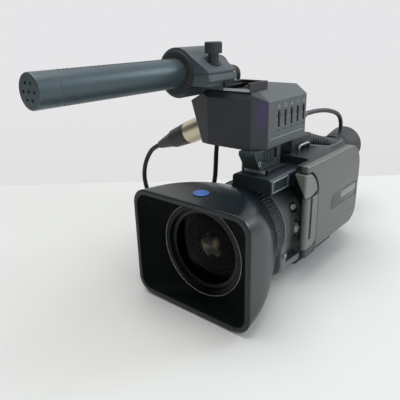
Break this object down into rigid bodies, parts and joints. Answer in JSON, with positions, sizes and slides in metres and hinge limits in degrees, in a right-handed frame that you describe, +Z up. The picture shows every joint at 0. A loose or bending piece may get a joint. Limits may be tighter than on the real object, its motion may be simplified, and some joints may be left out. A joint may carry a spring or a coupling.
{
  "type": "camcorder",
  "caption": "Compact professional camcorder with wide lens hood, swing-out screen, tilting viewfinder, top audio adaptor and a shotgun microphone in a clamp.",
  "frame": {"origin": "centre of the tripod socket's mouth in the underside of the base", "axes": "+Z up, -Y the way the lens looks, +X the side with the folding screen"},
  "size_m": [0.1776, 0.3515, 0.1839],
  "materials": {
    "hood_black": "moulded satin",
    "ring_black": "black anodised",
    "lens_glass": "coated",
    "lens_black": "matt",
    "barrel_grey": "painted satin",
    "ring_rubber": "ribbed",
    "button_white": "moulded",
    "switch_silver": "moulded satin",
    "base_black": "moulded",
    "socket_brass": "turned",
    "body_grey": "painted satin",
    "shoe_metal": "black plated",
    "hinge_grey": "painted satin",
    "pin_steel": "turned",
    "panel_grey": "painted satin",
    "bezel_black": "moulded",
    "screen_glass": "gloss",
    "finder_black": "moulded satin",
    "eyecup_rubber": "soft",
    "battery_black": "moulded",
    "dial_black": "moulded",
    "start_red": "moulded",
    "carriage_steel": "pressed",
    "strap_fabric": "woven nylon",
    "lug_chrome": "polished",
    "adaptor_black": "painted satin",
    "adaptor_grey": "painted satin",
    "socket_black": "moulded",
    "pedestal_black": "moulded",
    "plug_black": "moulded",
    "boot_black": "soft",
    "cable_black": "satin",
    "mic_alloy": "satin enamel",
    "holder_black": "moulded",
    "knob_black": "knurled",
    "holder_rubber": "soft",
    "shell_nickel": "satin nickel plate",
    "switch_black": "moulded"
  },
  "bodies": {
    "camera": {"lens_hood": "hood_black", "filter_ring": "ring_black", "front_lens": "lens_glass", "inner_lens": "lens_black", "lens_barrel": "barrel_grey", "base_plate": "base_black", "tripod_socket": "socket_brass", "body_shell": "body_grey", "accessory_shoe": "shoe_metal", "hinge_block": "hinge_grey", "lcd_pins": "pin_steel", "viewfinder_pins": "pin_steel", "battery": "battery_black", "lid_pin": "pin_steel", "cassette_carriage": "carriage_steel", "top_lug": "lug_chrome", "adaptor_front": "adaptor_black", "adaptor_side": "adaptor_grey", "adaptor_rear": "adaptor_black", "adaptor_shoe": "adaptor_black", "xlr_sockets": "socket_black", "pedestal": "pedestal_black", "cable_plug": "plug_black", "plug_boot": "boot_black", "adaptor_cable": "cable_black", "mic_tube": "mic_alloy", "mic_cap": "mic_alloy", "mic_gland": "plug_black", "holder_lower": "holder_black", "rubber_ring": "holder_rubber", "xlr_shell": "shell_nickel", "xlr_body": "boot_black", "mic_cable": "cable_black"},
    "lcd_swing": {"lcd_column": "panel_grey", "lcd_cover": "panel_grey", "lcd_bezel": "bezel_black", "lcd_screen": "screen_glass"},
    "viewfinder": {"viewfinder_tube": "finder_black", "eyepiece_lens": "lens_glass", "eyecup": "eyecup_rubber"},
    "diopter_lever": {"diopter_lever": "base_black"},
    "focus_ring": {"focus_ring": "ring_rubber"},
    "focus_button": {"focus_button": "button_white"},
    "nd_switch": {"nd_switch": "switch_silver"},
    "auto_button": {"auto_button": "button_white"},
    "battery_latch": {"battery_latch": "base_black"},
    "mode_dial": {"mode_dial": "dial_black"},
    "start_button": {"start_button": "start_red"},
    "zoom_rocker": {"zoom_rocker": "dial_black"},
    "cassette_lid": {"cassette_lid": "body_grey", "strap_lugs": "pin_steel", "hand_strap": "strap_fabric"},
    "lock_wheel": {"lock_wheel": "pedestal_black"},
    "holder_upper": {"holder_upper": "holder_black"},
    "clamp_screw": {"clamp_screw": "knob_black"},
    "adaptor_switch_1": {"adaptor_switch_1": "switch_black"},
    "adaptor_switch_2": {"adaptor_switch_2": "switch_black"},
    "adaptor_switch_3": {"adaptor_switch_3": "switch_black"},
    "adaptor_switch_4": {"adaptor_switch_4": "switch_black"},
    "adaptor_switch_5": {"adaptor_switch_5": "switch_black"}
  },
  "joints": [
    {"name": "lcd_swing", "type": "hinge", "parent": "camera", "child": "lcd_swing", "pos_m": [0.0441, -0.046, 0.05], "axis": [0, 0, -1], "range_deg": [0, 90]},
    {"name": "viewfinder_tilt", "type": "hinge", "parent": "camera", "child": "viewfinder", "pos_m": [-0.01, 0.04, 0.0685], "axis": [1, 0, 0], "range_deg": [0, 90]},
    {"name": "diopter_turn", "type": "hinge", "parent": "viewfinder", "child": "diopter_lever", "pos_m": [0.004, 0.102, 0.0685], "axis": [1, 0, 0], "range_deg": [-20, 20]},
    {"name": "focus_turn", "type": "hinge", "parent": "camera", "child": "focus_ring", "pos_m": [0, -0.064, 0.044], "axis": [0, 1, 0], "continuous": true},
    {"name": "focus_press", "type": "slide", "parent": "camera", "child": "focus_button", "axis": [-0.8805, 0, -0.4741], "range_m": [0, 0.001], "stiffness_N_per_m": 300},
    {"name": "nd_slide", "type": "slide", "parent": "camera", "child": "nd_switch", "axis": [0.0523, 0, 0.9986], "range_m": [-0.004, 0.004]},
    {"name": "auto_press", "type": "slide", "parent": "camera", "child": "auto_button", "axis": [-1, 0, 0], "range_m": [0, 0.001], "stiffness_N_per_m": 300},
    {"name": "battery_latch_slide", "type": "slide", "parent": "camera", "child": "battery_latch", "axis": [0, 0, -1], "range_m": [0, 0.003], "stiffness_N_per_m": 200, "springref_m": -0.001},
    {"name": "mode_turn", "type": "hinge", "parent": "camera", "child": "mode_dial", "pos_m": [-0.0152, 0.072, 0.025], "axis": [0, -1, 0], "range_deg": [-60, 60]},
    {"name": "start_press", "type": "slide", "parent": "camera", "child": "start_button", "axis": [0, -1, 0], "range_m": [0, 0.0012], "stiffness_N_per_m": 300},
    {"name": "zoom_rock", "type": "hinge", "parent": "camera", "child": "zoom_rocker", "pos_m": [-0.034, 0.003, 0.0948], "axis": [1, 0, 0], "range_deg": [-6, 6], "stiffness_Nm_per_rad": 0.05},
    {"name": "lid_turn", "type": "hinge", "parent": "camera", "child": "cassette_lid", "pos_m": [-0.046, 0.0235, 0.057], "axis": [0, 1, 0], "range_deg": [0, 60]},
    {"name": "lock_turn", "type": "hinge", "parent": "camera", "child": "lock_wheel", "pos_m": [0.0095, -0.053, 0.1036], "axis": [0, 0, 1], "continuous": true},
    {"name": "holder_open", "type": "hinge", "parent": "camera", "child": "holder_upper", "pos_m": [-0.0662, -0.069, 0.1626], "axis": [0, -1, 0], "range_deg": [0, 90]},
    {"name": "clamp_turn", "type": "hinge", "parent": "holder_upper", "child": "clamp_screw", "pos_m": [-0.0235, -0.0685, 0.165], "axis": [0, 0, 1], "continuous": true},
    {"name": "adaptor_switch_1_slide", "type": "slide", "parent": "camera", "child": "adaptor_switch_1", "axis": [0, 0, -1], "range_m": [0, 0.006]},
    {"name": "adaptor_switch_2_slide", "type": "slide", "parent": "camera", "child": "adaptor_switch_2", "axis": [0, 0, -1], "range_m": [0, 0.006]},
    {"name": "adaptor_switch_3_slide", "type": "slide", "parent": "camera", "child": "adaptor_switch_3", "axis": [0, 0, -1], "range_m": [0, 0.006]},
    {"name": "adaptor_switch_4_slide", "type": "slide", "parent": "camera", "child": "adaptor_switch_4", "axis": [0, 0, -1], "range_m": [0, 0.006]},
    {"name": "adaptor_switch_5_slide", "type": "slide", "parent": "camera", "child": "adaptor_switch_5", "axis": [0, 0, -1], "range_m": [0, 0.006]}
  ]
}
